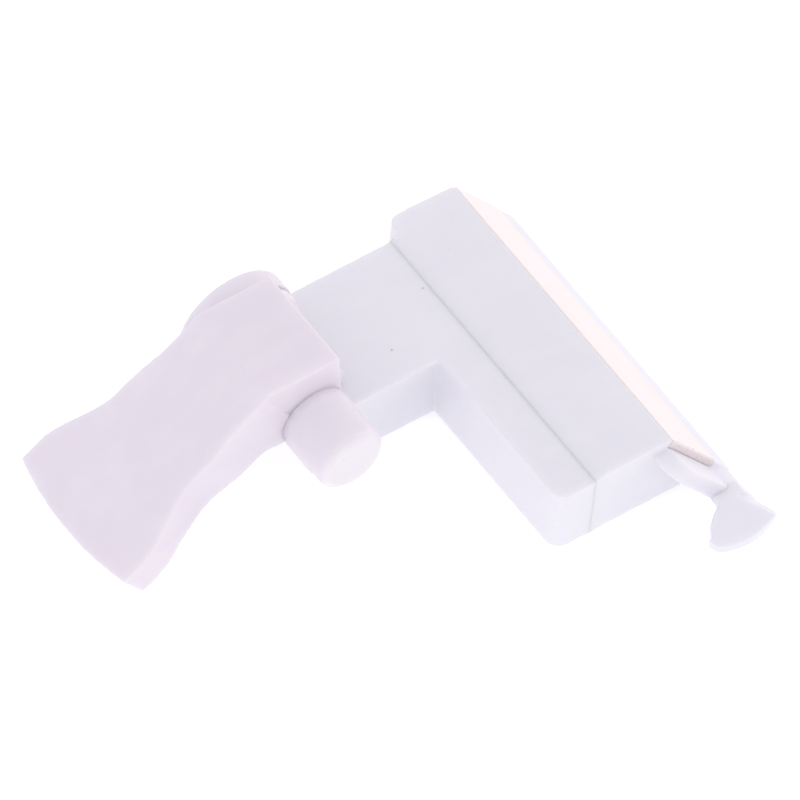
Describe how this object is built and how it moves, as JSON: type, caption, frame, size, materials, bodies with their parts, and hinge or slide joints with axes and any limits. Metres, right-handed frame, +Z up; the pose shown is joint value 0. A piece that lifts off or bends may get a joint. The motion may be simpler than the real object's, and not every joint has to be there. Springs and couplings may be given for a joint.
{
  "type": "stair gate latch lever",
  "caption": "Latch lever of a stair gate: a thumb paddle and a sloped-nose latch bar on a ribbed arm rock together on a pivot pin, with a small finger tab at the bar's end.",
  "frame": {"origin": "on the pivot axis, at the middle of the bearing length of the pin's free end", "axes": "+X from the thumb paddle to the latch bar, +Y along the pivot axis from the pin's free end to its cap, +Z up as the lever lies on a table"},
  "size_m": [0.0665, 0.0473, 0.023],
  "materials": {
    "body_plastic": "satin moulded nylon, milky white",
    "pin_plastic": "satin moulded nylon, milky white",
    "nose_plastic": "smooth acetal, warm white",
    "spring_steel": "bright drawn spring wire",
    "screw_steel": "zinc plated"
  },
  "bodies": {
    "pin": {"pivot_pin": "pin_plastic", "pin_cap": "body_plastic", "return_spring": "spring_steel"},
    "lever": {"thumb_paddle": "body_plastic", "latch_arm": "body_plastic", "latch_bar": "body_plastic", "strike_plate": "nose_plastic", "assembly_screws": "screw_steel"},
    "tab": {"release_tab": "body_plastic"}
  },
  "joints": [
    {"name": "lever_pivot", "type": "hinge", "parent": "pin", "child": "lever", "pos_m": [0, 0.00945, 0], "axis": [0, -1, 0], "range_deg": [-10, 25], "stiffness_Nm_per_rad": 0.02, "deforming": ["return_spring"]},
    {"name": "tab_flex", "type": "hinge", "parent": "lever", "child": "tab", "pos_m": [0.0387, -0.01825, -0.01406], "axis": [0.9984, 0, 0.0566], "range_deg": [-8, 8], "stiffness_Nm_per_rad": 0.05}
  ]
}
